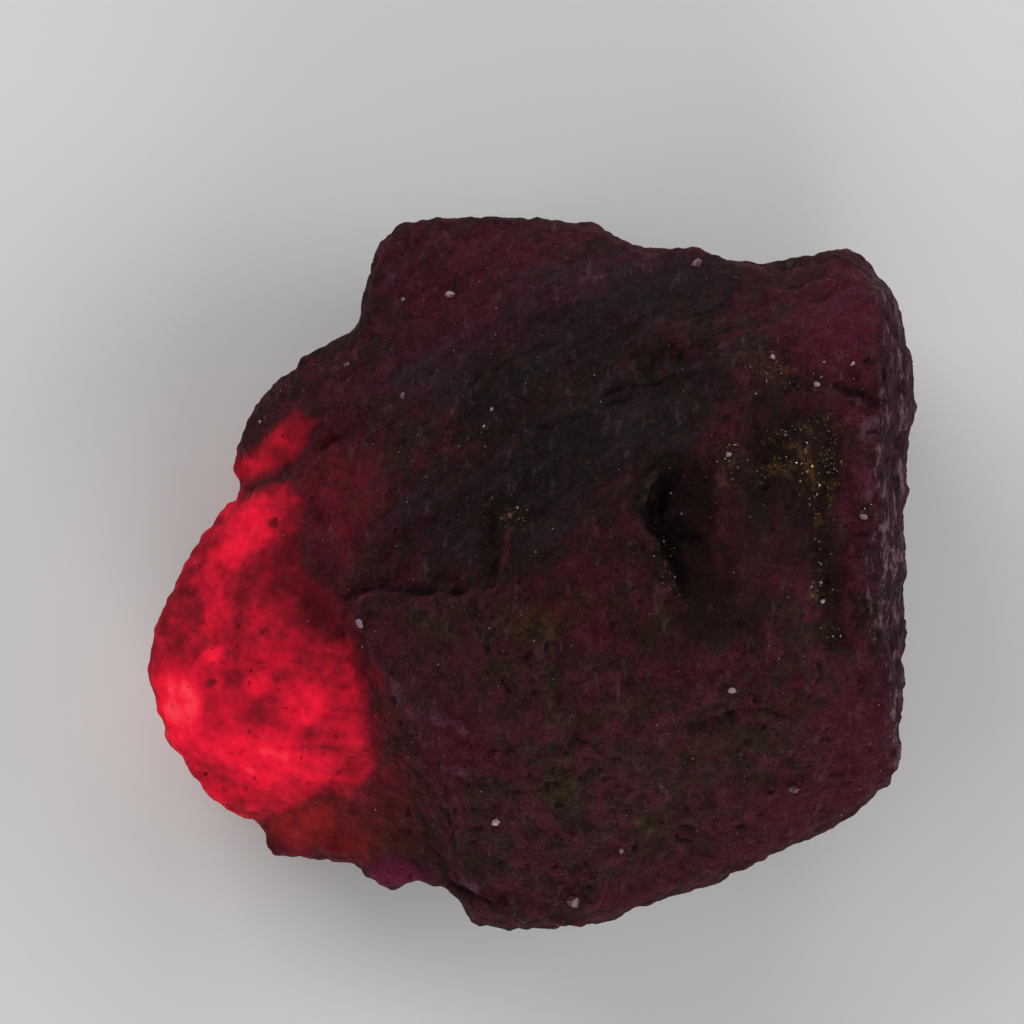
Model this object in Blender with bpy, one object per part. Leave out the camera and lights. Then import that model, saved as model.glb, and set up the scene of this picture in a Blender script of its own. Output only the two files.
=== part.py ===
"""Raw ruby crystal: one hand-sized lump of rough corundum, about 52 x 49 x 30 mm.

The lump is one natural solid. It is built as it broke: six convex masses with flat parting faces are
fused into one body, its outline is trimmed, hollows are cut out of it, and its skin is then stepped,
grooved and chipped and laid on a flat fracture face. X runs along the long side, Y across it, +Z up.
Lengths in the tables and in the functions that shape the skin are millimetres.
"""

import bmesh
import bpy
from mathutils import Vector, noise

MM = 0.001  # one millimetre, in metres

# ---------------------------------------------------------------- driving sizes, in millimetres
CREST = 29.5  # height of the crest that runs across the top, above the resting face
SHOULDER_DROP = 1.7  # how far the banded face lies below the main mass along the ledge
LOBE_TOP = 16.5  # height of the lobe's dome
RIM = 7.0  # height of the lobe's widest level
BASE = 0.0  # level of the flat fracture that the stone rests on
BURIED = -2.0  # how far below that level the masses run before the fracture cuts them off
CLEAR = CREST + 4.0  # a level that is clear above the stone, where the cutters start

SKIN_GRID = 0.42  # size of the mesh that the skin is worked in
WORN_PASSES = 4  # smoothing passes that wear the edges between the masses
SWELL, SWELL_SIZE = 0.5, 7.0  # height and spacing of the broad unevenness
CHIP, CHIP_SIZE = 0.5, 3.6  # tilt and size of the small broken facets
CHIP_SEED = 7  # fixes which way each facet leans
BAND_STEP, BAND_PITCH, BAND_STRAY = 0.5, 2.4, 1.6  # height, spacing and straying of the banded face's steps
BAND_ACROSS = (-0.50, 0.80, -0.33)  # the way that those steps follow one another
SIDE_STEP, SIDE_PITCH, SIDE_STRAY = 0.5, 3.6, 2.4  # the same for the steps round the sides
SIDE_ACROSS = (0.22, -0.16, 0.96)
TREAD_SHARE = 0.8  # how much of a step's width is tread; the rest is riser
SIDE_TRIM = 0.25  # taken off the sides, so that the crests of the steps stay on the outline
SIDE_LEAN = 0.0022  # how much the outline draws in for each millimetre of height
WIDEST = 12.0  # level at which the outline is drawn
FLUTE = 0.35  # depth of the upright scales on the right face
SCALE_WIDTH, SCALE_HEIGHT = 2.2, 6.6  # size of one scale
KEPT_FACES = 0.09  # share of the skin's triangles that the finished solid keeps

# ---------------------------------------------------------------- the outline seen from above
OUTLINE = [
    # the back edge: block, saddle, horn
    (-10.5, 23.2), (-9.5, 24.0), (-6.8, 24.2), (-0.7, 24.3), (3.7, 24.1), (5.0, 23.2), (7.4, 22.0),
    (10.8, 22.4), (12.5, 21.4), (15.6, 21.2), (18.3, 21.7), (20.6, 22.3), (22.2, 21.3), (23.5, 19.6),
    # the right edge
    (24.7, 17.0), (25.6, 11.8), (25.1, 6.3), (24.6, 2.0), (24.5, -5.2), (24.5, -12.0), (24.3, -13.4),
    # the front edge
    (23.6, -14.4), (22.2, -15.7), (20.8, -16.6), (18.7, -17.5), (15.9, -18.9), (14.2, -19.5), (13.4, -20.1),
    (12.7, -20.8), (10.8, -21.4), (9.1, -21.9), (7.2, -22.5), (6.3, -22.7), (5.6, -23.3), (2.9, -24.1),
    (-2.1, -24.4), (-4.6, -23.8), (-5.5, -22.4), (-5.9, -21.0),
    # the low ledge and its crystals
    (-6.8, -21.5), (-7.5, -21.6), (-8.2, -21.0), (-9.0, -21.4), (-10.0, -21.9), (-10.9, -21.5), (-11.8, -20.9),
    (-12.6, -19.6), (-15.4, -19.3), (-18.4, -19.2), (-19.2, -17.2),
    # the lobe
    (-20.4, -16.6), (-22.8, -15.3), (-25.5, -11.3), (-26.4, -8.7), (-26.7, -6.5), (-26.4, -4.4), (-25.4, -1.5),
    (-24.0, 1.3), (-21.9, 3.5), (-20.5, 5.4),
    # the brow and the left side of the block
    (-21.4, 7.0), (-20.7, 10.0), (-18.6, 12.3), (-16.5, 14.7), (-13.1, 16.2), (-12.0, 17.1), (-11.9, 19.2),
    (-11.5, 21.3),
]  # fmt: skip

# ---------------------------------------------------------------- the masses, as their corners
MAIN_MASS = [
    # the crest, from the ledge's end to the horn
    (-12.6, -1.8, 20.0), (-7.3, -1.2, 24.0), (-2.4, -0.4, 27.0), (7.1, 6.3, CREST), (14.9, 12.5, 28.5),
    (22.2, 18.1, 24.5),
    # the top edge of the right face
    (23.2, 11.5, 25.0), (22.4, 5.0, 25.5), (22.8, -1.6, 24.5), (23.5, -8.3, 22.0), (24.1, -13.4, 17.5),
    # the top edge of the front face
    (22.1, -15.2, 17.0), (13.8, -19.2, 17.5), (7.3, -21.8, 16.5), (2.6, -23.4, 16.0), (-2.1, -23.4, 16.0),
    # the edge above the lobe
    (-4.6, -21.4, 16.5), (-6.0, -18.0, 18.5), (-6.4, -14.0, 19.5), (-8.4, -10.6, 20.5), (-11.4, -6.6, 20.5),
    # the crown of the front slope
    (-0.7, -9.5, 26.4), (9.8, -7.5, 27.4), (11.0, 1.0, 29.2), (17.7, -8.2, 25.8),
    # the widest level: right, then front
    (25.6, 17.6, 16.0), (26.8, 11.8, 15.0), (25.8, 6.0, 12.0), (25.9, -5.0, 13.5), (25.4, -12.2, 9.5),
    (24.9, -14.8, 10.5), (21.6, -17.0, 9.0), (14.0, -21.0, 11.0), (6.1, -23.8, 9.5), (2.7, -25.0, 11.5),
    (-2.0, -25.0, 10.0), (-6.0, -23.8, 10.5),
    # the underside
    (-10.0, -4.0, BURIED), (2.0, 8.0, BURIED), (13.0, 11.0, BURIED), (19.5, 7.0, BURIED), (19.0, -5.0, BURIED),
    (14.0, -13.0, BURIED), (5.5, -17.0, BURIED), (-3.5, -16.5, BURIED), (22.6, 12.0, 5.0), (21.4, -11.0, 3.0),
    (9.0, -20.5, 4.5), (-3.0, -21.5, 5.0),
]  # fmt: skip
SHOULDER = [
    # along the crest, below the main mass by the drop of the ledge and level with it from there on
    (-13.0, -2.4, 20.0 - SHOULDER_DROP), (-7.3, -1.0, 23.6 - SHOULDER_DROP), (-2.4, 0.4, 26.8 - SHOULDER_DROP),
    (3.0, 3.6, 28.0), (7.1, 6.6, CREST), (14.9, 12.7, 28.3), (18.5, 15.6, 26.5),
    # the middle of the banded face, which bulges a little
    (-14.6, 5.0, 17.0), (-8.7, 12.3, 18.4), (-1.0, 13.2, 23.2), (-0.7, 18.6, 20.2), (6.5, 17.2, 23.4),
    (13.0, 18.2, 23.0),
    # the edge above the back and the left sides
    (-11.6, 17.2, 13.5), (-11.8, 21.4, 12.8), (-9.6, 24.0, 13.0), (-0.7, 24.4, 14.5), (4.4, 24.2, 15.8),
    (10.8, 22.8, 17.8), (15.4, 21.5, 18.8),
    # the widest level and the foot of the back side
    (-12.2, 17.0, 10.0), (-11.8, 21.0, 9.0), (-9.0, 24.6, 8.5), (-1.0, 25.2, 10.5), (5.0, 24.8, 8.0),
    (10.0, 23.2, 11.0), (16.0, 22.2, 9.5),
    (-13.0, 4.0, BURIED), (-9.5, 15.0, BURIED), (-7.0, 21.0, 2.5), (0.0, 19.5, BURIED), (9.5, 18.0, BURIED),
    (15.0, 16.0, BURIED), (10.0, -4.0, BURIED),
]  # fmt: skip
HORN = [
    (14.9, 12.5, 28.3), (19.0, 16.0, 27.0), (22.4, 18.2, 24.8), (23.4, 12.5, 24.5),
    (17.6, 20.6, 19.8), (20.6, 21.6, 19.2), (22.3, 21.2, 18.5), (23.7, 19.6, 18.0),
    (16.0, 21.8, 15.0), (21.2, 22.8, 14.0), (23.2, 22.0, 13.0), (25.4, 18.2, 12.5), (26.6, 12.0, 13.0),
    (15.0, 20.0, 5.0), (20.5, 20.6, 6.5), (23.6, 17.0, 5.0),
    (8.0, 8.0, BURIED), (13.0, 15.0, BURIED), (18.0, 14.0, BURIED), (19.5, 7.0, BURIED),
]  # fmt: skip
BROW = [
    # its rounded rim, from the notch above the lobe to the block
    (-20.8, 5.2, 9.5), (-21.6, 7.0, 9.0), (-21.2, 10.1, 9.5), (-19.4, 12.8, 10.5), (-17.1, 15.3, 11.0),
    (-12.8, 16.8, 12.0), (-17.4, 3.4, 13.6),
    # its back, which runs up into the banded face
    (-19.0, 7.8, 13.2), (-16.0, 11.6, 14.6), (-15.0, 6.6, 16.6), (-11.5, 11.5, 17.4), (-8.0, 5.0, 20.2),
    # its underside
    (-19.6, 8.0, 5.0), (-17.2, 12.0, 5.5), (-13.4, 14.6, 6.0),
    (-16.0, 6.0, 1.0), (-13.5, 11.5, 1.0), (-10.0, 13.0, BURIED), (-12.0, 5.0, BURIED), (0.0, 4.0, BURIED),
]  # fmt: skip
LOBE = [
    # the rim, from the notch under the brow round to the low ledge, at two levels
    (-20.8, 6.2, RIM + 3.0), (-22.8, 4.4, RIM + 2.0), (-24.8, 1.6, RIM + 1.0), (-26.4, -1.6, RIM + 1.5),
    (-27.2, -6.5, RIM + 2.0), (-27.0, -9.0, RIM + 1.5), (-26.2, -11.8, RIM + 0.5), (-23.6, -15.9, RIM + 1.5),
    (-20.8, -17.4, RIM + 0.5), (-16.5, -17.8, RIM + 1.0), (-22.2, 4.0, RIM - 2.5), (-25.2, -1.8, RIM - 3.0),
    (-26.2, -7.0, RIM - 3.0), (-25.0, -11.4, RIM - 3.5), (-22.2, -15.0, RIM - 3.5),
    # the shoulder of the dome
    (-22.0, 1.8, 11.0), (-24.0, -3.6, 11.0), (-24.0, -8.0, 11.5), (-21.6, -12.4, 11.0),
    # the dome, which meets the main mass under its edge
    (-17.6, 5.2, 14.0), (-18.6, 1.6, 14.2), (-20.4, -3.4, 14.6), (-20.4, -8.2, 14.0), (-16.4, -12.8, 13.8),
    (-14.6, 3.2, LOBE_TOP), (-15.0, -2.8, LOBE_TOP + 0.6), (-14.8, -7.6, LOBE_TOP), (-9.5, -11.6, 16.8),
    (-7.5, -15.8, 14.6), (-6.0, -4.0, 19.0),
    # the underside
    (-20.0, 0.5, 1.6), (-21.6, -6.5, 0.8), (-18.5, -12.5, 1.4), (-15.0, 2.0, BURIED), (-16.5, -6.0, BURIED),
    (-14.0, -12.0, BURIED), (2.0, 2.0, BURIED), (2.0, -14.0, BURIED),
]  # fmt: skip
LOW_LEDGE = [
    (-19.6, -17.0, 8.0), (-18.6, -19.9, 7.6), (-15.8, -20.9, 7.4), (-12.0, -21.0, 8.0), (-5.0, -22.0, 9.6),
    (-16.5, -16.8, 11.0), (-11.0, -17.8, 11.6), (-6.0, -19.0, 12.6), (-9.0, -13.6, 15.4), (-5.0, -15.0, 16.0),
    (-17.8, -18.2, 4.5), (-12.0, -19.4, 3.6), (-5.0, -20.4, 3.4),
    (-14.5, -15.0, 1.0), (-9.0, -17.0, BURIED), (-3.0, -18.0, BURIED), (0.0, -10.0, BURIED),
]  # fmt: skip

# Round lumps grown on the masses: centre, then the half size along X, Y and Z.
LUMPS = {
    "ledge_crystal": ((-10.2, -20.0, 8.6), (2.5, 2.4, 2.3)),
    "ledge_bead": ((-7.3, -20.6, 9.4), (1.3, 1.4, 1.6)),
    "ledge_toe": ((-14.0, -18.4, 9.8), (2.6, 1.6, 1.8)),
    "saddle_knob": ((10.0, 21.2, 18.6), (1.7, 1.3, 1.3)),
    "front_knob": ((3.0, -22.0, 17.0), (1.6, 1.2, 1.1)),
    "corner_knob": ((17.4, -13.8, 20.8), (1.5, 1.1, 1.2)),
    "ledge_end_knob": ((-11.9, -2.9, 20.2), (1.3, 1.4, 1.2)),
    "pocket_lip": ((12.9, 2.4, 28.0), (1.5, 4.4, 1.5)),
    "spur": ((2.0, -4.2, 26.6), (5.6, 3.0, 1.7)),
}

# ---------------------------------------------------------------- the hollows, as their corners
LEDGE_NICHE = [
    (-17.0, -1.7, CLEAR), (-2.5, -0.9, CLEAR), (-2.4, 5.0, CLEAR), (-8.0, 8.0, CLEAR), (-17.0, 8.0, CLEAR),
    (-17.0, -1.5, 15.6), (-2.7, -0.7, 24.9), (-2.8, 4.8, 25.4), (-8.0, 8.0, 22.0), (-17.0, 8.0, 16.0),
]  # fmt: skip
POCKET = [
    # the rim: steep on the left, where the hollow is deepest, and a long scoop on the right
    (6.0, 6.0, CLEAR), (8.2, 8.4, CLEAR), (7.0, 1.8, CLEAR), (8.6, -1.8, CLEAR),
    (11.6, 7.2, 30.0), (12.8, 3.0, 29.8), (11.4, -2.2, 29.2), (9.4, -3.2, 29.0),
    # the floor
    (7.2, 5.4, 25.0), (8.4, 6.4, 26.0), (7.9, 3.0, 24.6), (9.3, -0.4, 26.2),
]  # fmt: skip
GLITTER_PIT = [
    (-2.2, 5.8, CLEAR), (0.8, 6.0, CLEAR), (1.6, 4.0, CLEAR), (0.2, 2.6, CLEAR), (-2.0, 2.8, CLEAR),
    (-1.2, 4.8, 24.6), (0.2, 4.2, 25.2), (-1.0, 3.6, 24.8),
]  # fmt: skip

# Grooves in the upper skin: the path they follow in plan, their half width and their depth.
GROOVES = {
    "mica_vein": ([(14.6, 8.0), (16.6, 11.4), (18.6, 8.6), (18.4, 4.6), (18.8, 1.0), (19.2, -4.2)], 3.0, 0.9),
    "vein_arm": ([(15.6, 14.0), (20.4, 12.6)], 1.6, 0.6),
    "notch_under_horn": ([(19.9, 11.6), (22.2, 11.0)], 1.1, 0.9),
    "ledge_crack": ([(-12.6, -1.6), (-8.0, -1.0), (-2.5, -0.8)], 0.9, 1.0),
    "riser_crack": ([(-2.6, -0.8), (-2.9, 2.2), (-2.0, 4.6)], 0.8, 0.9),
    "brow_groove": ([(-20.4, 6.2), (-18.0, 7.0), (-15.6, 8.8), (-12.4, 9.6)], 1.8, 0.8),
    "lobe_edge": ([(-12.4, -3.4), (-12.2, -6.2), (-9.6, -8.8), (-7.6, -12.6), (-6.6, -15.6)], 1.8, 0.5),
    "arc_crack": ([(9.2, -10.2), (10.8, -9.2), (13.8, -8.2), (16.6, -8.0), (18.6, -8.8)], 1.0, 0.6),
    "hairline": ([(1.5, -3.0), (0.8, -6.6), (1.8, -9.4), (2.8, -10.8)], 0.8, 0.4),
    "back_gash": ([(7.0, 13.6), (10.6, 14.8)], 1.0, 0.5),
    "long_gash": ([(4.4, 11.6), (8.0, 12.4), (11.0, 12.6)], 0.9, 0.45),
    "crease": ([(-5.6, -21.0), (-2.8, -22.2)], 0.9, 0.9),
}


def clear_scene():
    for old in list(bpy.data.objects):
        bpy.data.objects.remove(old)


def group(name):
    """A collection for helper shapes, linked to the scene."""
    made = bpy.data.collections.new(name)
    bpy.context.scene.collection.children.link(made)
    return made


def add_object(name, bm, collection):
    mesh = bpy.data.meshes.new(name)
    bm.to_mesh(mesh)
    bm.free()
    obj = bpy.data.objects.new(name, mesh)
    collection.objects.link(obj)
    return obj


def add_helper(name, bm, collection):
    """A shape that only a Boolean uses: it is left out of renders and drawn as wire."""
    obj = add_object(name, bm, collection)
    obj.hide_render = True
    obj.display_type = "WIRE"
    return obj


def hull(corners):
    """The convex solid over these corners, whose faces are flat partings."""
    bm = bmesh.new()
    for corner in corners:
        bm.verts.new(Vector(corner) * MM)
    swept = bmesh.ops.convex_hull(bm, input=bm.verts)
    inner = [v for v in swept["geom_interior"] if isinstance(v, bmesh.types.BMVert)]
    bmesh.ops.delete(bm, geom=inner, context="VERTS")
    bmesh.ops.recalc_face_normals(bm, faces=bm.faces)
    return bm


def pebble(centre, half_sizes):
    """A faceted round lump."""
    bm = bmesh.new()
    bmesh.ops.create_icosphere(bm, subdivisions=2, radius=MM)
    bmesh.ops.scale(bm, vec=half_sizes, verts=bm.verts)
    bmesh.ops.translate(bm, vec=Vector(centre) * MM, verts=bm.verts)
    return bm


def ring(bm, outline, level):
    """The outline's corners at a level: it draws in a little with height."""
    spread = 1.0 - SIDE_LEAN * (level - WIDEST)
    return [bm.verts.new(Vector((x * spread, y * spread, level)) * MM) for x, y in outline]


def leaning_prism(outline, low, high):
    """A solid over a closed outline, whose sides lean inward."""
    bm = bmesh.new()
    foot, head = ring(bm, outline, low), ring(bm, outline, high)
    bm.faces.new(foot)
    bm.faces.new(head)
    bmesh.ops.bridge_loops(bm, edges=[e for e in bm.edges])
    bmesh.ops.recalc_face_normals(bm, faces=bm.faces)
    return bm


def boolean(obj, operation, collection):
    made = obj.modifiers.new(operation.lower(), "BOOLEAN")
    made.operation = operation
    made.solver = "EXACT"
    made.operand_type = "COLLECTION"
    made.collection = collection


def fused_masses():
    """The masses and lumps joined in one body, trimmed to the outline and hollowed, as one even mesh."""
    growths = group("growths")
    others = {"shoulder": SHOULDER, "horn": HORN, "brow": BROW, "lobe": LOBE, "low_ledge": LOW_LEDGE}
    for name, corners in others.items():
        add_helper(name, hull(corners), growths)
    for name, (centre, half_sizes) in LUMPS.items():
        add_helper(name, pebble(centre, half_sizes), growths)

    trim = group("trim")
    add_helper("outline", leaning_prism(OUTLINE, BURIED - 2.0, CLEAR), trim)

    hollows = group("hollows")
    cuts = {"niche": LEDGE_NICHE, "pocket": POCKET, "glitter_pit": GLITTER_PIT}
    for name, corners in cuts.items():
        add_helper(name, hull(corners), hollows)

    body = add_object("fused_masses", hull(MAIN_MASS), bpy.context.scene.collection)
    boolean(body, "UNION", growths)
    boolean(body, "INTERSECT", trim)
    boolean(body, "DIFFERENCE", hollows)
    remesh = body.modifiers.new("even skin", "REMESH")
    remesh.mode = "VOXEL"
    remesh.voxel_size = SKIN_GRID * MM
    worn = body.modifiers.new("worn edges", "SMOOTH")
    worn.factor = 0.5
    worn.iterations = WORN_PASSES
    graph = bpy.context.evaluated_depsgraph_get()
    mesh = bpy.data.meshes.new_from_object(body.evaluated_get(graph))
    bpy.data.objects.remove(body)
    return mesh


def eased(value, low, high):
    """0 below low, 1 above high, with a soft rise between them."""
    share = max(0.0, min(1.0, (value - low) / (high - low)))
    return share * share * (3.0 - 2.0 * share)


def reach(place, path):
    """How far a place is, in plan, from a path of straight runs."""
    here = place.to_2d()
    nearest = 1e9
    for start, end in zip(path, path[1:]):
        start, run = Vector(start), Vector(end) - Vector(start)
        along = max(0.0, min(1.0, (here - start).dot(run) / run.length_squared))
        nearest = min(nearest, (here - start - run * along).length)
    return nearest


def treads(place, across, pitch, stray):
    """Parting steps: flat treads that end in short risers, stray from straight lines and differ in width."""
    wander = stray * (noise.noise(place / 5.0) + 0.3 * noise.noise(place / 1.7))
    wander += 2.5 * noise.noise(place / 14.0)
    share = ((place.dot(Vector(across)) + wander) / pitch) % 1.0
    if share < TREAD_SHARE:
        return share - 0.5
    return (TREAD_SHARE - 0.5) - TREAD_SHARE * (share - TREAD_SHARE) / (1.0 - TREAD_SHARE)


def facets(place):
    """Small broken facets: each cell of the skin leans its own way and meets its neighbours in an edge."""
    distances, centres = noise.voronoi(place / CHIP_SIZE)
    lean = noise.noise_vector(centres[0] * 5.3)
    return (place / CHIP_SIZE - centres[0]).dot(lean) * 2.4 * eased(distances[1] - distances[0], 0.0, 0.22)


def skin_rise(place, normal):
    """How far the skin stands out from the worn masses at a place: swell, facets, steps, scales and grooves."""
    above = eased(normal.z, 0.25, 0.6)
    past_crest = eased(place.y - 0.62 * place.x, 1.5, 4.0)
    banded = above * past_crest * eased(place.x, -17.0, -13.0)
    sideways = eased(0.55 - abs(normal.z), 0.0, 0.25)
    scaly = eased(normal.x, 0.6, 0.85)

    rise = SWELL * noise.noise(place / SWELL_SIZE)
    rise += CHIP * facets(place) * (1.0 - 0.7 * banded)
    patchy = eased(noise.noise(place / 6.0 + Vector((3.0, 1.0, 2.0))), -0.35, 0.3)
    rise += BAND_STEP * treads(place, BAND_ACROSS, BAND_PITCH, BAND_STRAY) * patchy * banded
    rise += SIDE_STEP * treads(place, SIDE_ACROSS, SIDE_PITCH, SIDE_STRAY) * sideways * (1.0 - scaly)
    rise += FLUTE * noise.noise(Vector((place.x, place.y / SCALE_WIDTH, place.z / SCALE_HEIGHT))) * scaly
    rise -= SIDE_TRIM * sideways
    for path, half_width, depth in GROOVES.values():
        stray = 0.6 * half_width * noise.noise(place / 2.2)
        rise -= depth * above * (1.0 - eased(reach(place, path) + stray, 0.0, half_width))
    return rise


def roughen(mesh):
    skin = [(v.co / MM, v.normal.copy()) for v in mesh.vertices]
    for vertex, (place, normal) in zip(mesh.vertices, skin):
        vertex.co += normal * skin_rise(place, normal) * MM


def centre_on_base(obj):
    """Puts the origin under the middle of the solid's box, on the resting face."""
    evaluated = obj.evaluated_get(bpy.context.evaluated_depsgraph_get())
    mesh = evaluated.to_mesh()
    xs = [v.co.x for v in mesh.vertices]
    ys = [v.co.y for v in mesh.vertices]
    evaluated.to_mesh_clear()
    obj.location = (-(min(xs) + max(xs)) / 2, -(min(ys) + max(ys)) / 2, -BASE * MM)


def ruby_material():
    material = bpy.data.materials.new("rough ruby")
    material.use_nodes = True
    shader = material.node_tree.nodes["Principled BSDF"]
    shader.inputs["Base Color"].default_value = (0.06, 0.016, 0.022, 1.0)
    shader.inputs["Roughness"].default_value = 0.55
    shader.inputs["Metallic"].default_value = 0.0
    return material


def main():
    clear_scene()
    noise.seed_set(CHIP_SEED)
    mesh = fused_masses()
    roughen(mesh)
    mesh.materials.append(ruby_material())
    stone = bpy.data.objects.new("ruby_crystal", mesh)
    bpy.context.scene.collection.objects.link(stone)

    fewer = stone.modifiers.new("fewer faces", "DECIMATE")
    fewer.ratio = KEPT_FACES

    ground = bmesh.new()
    bmesh.ops.create_cube(ground, size=100 * MM)
    bmesh.ops.translate(ground, vec=(0.0, 0.0, (BASE - 50.0) * MM), verts=ground.verts)
    resting_cut = group("resting cut")
    add_helper("ground", ground, resting_cut)
    boolean(stone, "DIFFERENCE", resting_cut)
    centre_on_base(stone)


main()
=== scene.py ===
"""Raw ruby crystal: the broken skin of the stone, its mica and the grit stuck to it, on a plain floor.

Lengths in the tables are millimetres; what Blender gets is metres.
"""

import math

import bmesh
import bpy
import numpy as np
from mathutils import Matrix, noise


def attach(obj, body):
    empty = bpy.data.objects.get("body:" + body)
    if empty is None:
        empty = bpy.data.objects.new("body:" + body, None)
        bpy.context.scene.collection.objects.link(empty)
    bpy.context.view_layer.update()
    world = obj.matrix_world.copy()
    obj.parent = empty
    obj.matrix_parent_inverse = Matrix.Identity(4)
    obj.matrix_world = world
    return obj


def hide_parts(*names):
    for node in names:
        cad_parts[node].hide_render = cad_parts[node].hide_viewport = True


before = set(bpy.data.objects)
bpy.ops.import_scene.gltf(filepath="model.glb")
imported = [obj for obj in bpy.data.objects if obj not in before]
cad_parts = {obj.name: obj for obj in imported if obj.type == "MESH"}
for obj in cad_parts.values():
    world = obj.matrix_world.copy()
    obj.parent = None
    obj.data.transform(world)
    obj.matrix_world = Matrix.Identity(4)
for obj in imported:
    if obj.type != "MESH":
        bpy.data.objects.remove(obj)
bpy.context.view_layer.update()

# ---------------------------------------------------------------- the camera
# A long lens that looks straight down on the stone, 450 mm above the level where its outline is widest.
MM = 0.001
EYE = (-1.25, 4.17, 462.0)
OUTLINE_LEVEL = 12.0
FIELD = 69.42  # width of the view at that level
SENSOR = 36.0
camera = bpy.data.objects.new("camera", bpy.data.cameras.new("camera"))
camera.data.sensor_width = SENSOR
camera.data.lens = SENSOR * (EYE[2] - OUTLINE_LEVEL) / FIELD
camera.location = [length * MM for length in EYE]
bpy.context.scene.collection.objects.link(camera)
bpy.context.scene.camera = camera
bpy.context.scene.view_settings.view_transform = "Standard"

# ---------------------------------------------------------------- the stone's skin
# The whole stone is one lump of corundum. It parted along flat planes, broke unevenly across them and was
# then rubbed a little, so its large faces carry fine ribs, pits, chips and cracks.
SKIN_GRID = 0.31  # size of the mesh
WORN_PASSES = 10  # smoothing passes that wear its edges
noise.seed_set(11)

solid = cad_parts["ruby_crystal"]
bm = bmesh.new()
bm.from_mesh(solid.data)
bmesh.ops.remove_doubles(bm, verts=bm.verts, dist=0.001 * MM)
blank = bpy.data.meshes.new("blank")
bm.to_mesh(blank)
bm.free()
stone = bpy.data.objects.new("ruby_stone", blank)
bpy.context.scene.collection.objects.link(stone)
even = stone.modifiers.new("even skin", "REMESH")
even.mode = "VOXEL"
even.voxel_size = SKIN_GRID * MM
worn = stone.modifiers.new("worn edges", "SMOOTH")
worn.factor = 0.5
worn.iterations = WORN_PASSES
skin = bpy.data.meshes.new_from_object(stone.evaluated_get(bpy.context.evaluated_depsgraph_get()))
stone.modifiers.clear()
stone.data = skin
skin.name = "ruby_stone"


def per_vertex(owner, field, width=3):
    """One row of numbers for each vertex."""
    rows = np.empty(len(owner) * width)
    owner.foreach_get(field, rows)
    return rows.reshape(-1, width)


places = per_vertex(skin.vertices, "co") / MM
normals = per_vertex(skin.vertex_normals, "vector")
edges = np.empty(len(skin.edges) * 2, int)
skin.edges.foreach_get("vertices", edges)
edges = edges.reshape(-1, 2)
neighbours = np.bincount(edges.ravel(), minlength=len(places))[:, None]


def softened(rows, passes):
    """Rows averaged with their neighbours' again and again."""
    for _ in range(passes):
        sums = [
            np.bincount(edges[:, 0], column[edges[:, 1]], len(rows))
            + np.bincount(edges[:, 1], column[edges[:, 0]], len(rows))
            for column in rows.T
        ]
        rows = 0.5 * rows + 0.5 * np.stack(sums, axis=1) / neighbours
    return rows


def rise(values, low, high):
    """0 below low, 1 above high, with a soft step between them."""
    share = np.clip((values - low) / (high - low), 0, 1)
    return share * share * (3 - 2 * share)


def lumps(size, start, turned=None):
    """Noise from -1 to 1. size is one width, or the widths along the three axes in turned."""
    rows = places if turned is None else places @ np.array(turned).T
    rows = rows / np.array(size) + np.array([31.7, 17.3, 5.1]) * start
    return np.array([noise.noise(row) for row in rows.tolist()])


def chipped(size, start):
    """Broken facets: each cell leans its own way and meets its neighbours in a soft edge."""
    rows = (places / size + 9.1 * start).tolist()
    heights = []
    for row in rows:
        distances, centres = noise.voronoi(row)
        lean = noise.noise_vector(centres[0] * 5.3)
        inside = min(1.0, (distances[1] - distances[0]) / 0.3)
        heights.append((lean.x * (row[0] - centres[0].x) + lean.y * (row[1] - centres[0].y)) * inside)
    return np.array(heights)


def axes(along, across):
    """Three square axes from two directions: along the ribs, across them, and the third."""
    along, across = np.array(along, float), np.array(across, float)
    across /= np.linalg.norm(across)
    along -= across * along.dot(across)
    along /= np.linalg.norm(along)
    return along, across, np.cross(along, across)


# What can be seen of a place from above: its spot on the level of the outline, and how far it faces up.
plan = (places[:, :2] - EYE[:2]) * ((EYE[2] - OUTLINE_LEVEL) / (EYE[2] - places[:, 2:])) + EYE[:2]
ragged = plan + 0.55 * np.stack([lumps(2.4, 1), lumps(2.4, 2)], axis=1)
ragged += 0.25 * np.stack([lumps(0.9, 3), lumps(0.9, 4)], axis=1)
up = rise(normals[:, 2], 0.05, 0.45)
steep = 1 - rise(np.abs(normals[:, 2]), 0.35, 0.75)


def near(path, spots):
    """How far each spot is from a path of straight runs."""
    nearest = np.full(len(spots), 1e9)
    for start, end in zip(path, path[1:]):
        start, run = np.array(start), np.array(end) - np.array(start)
        share = np.clip((spots - start) @ run / (run @ run), 0, 1)
        nearest = np.minimum(nearest, np.linalg.norm(spots - start - share[:, None] * run, axis=1))
    return nearest


def within(outline, spots):
    """How deep each spot lies inside a closed outline, negative outside it."""
    odd = np.zeros(len(spots), bool)
    for (x0, y0), (x1, y1) in zip(outline, outline[1:] + outline[:1]):
        crosses = (y0 > spots[:, 1]) != (y1 > spots[:, 1])
        odd ^= crosses & (spots[:, 0] < x0 + (spots[:, 1] - y0) * (x1 - x0) / (y1 - y0 + 1e-9))
    return np.where(odd, 1, -1) * near(outline + outline[:1], spots)


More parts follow.
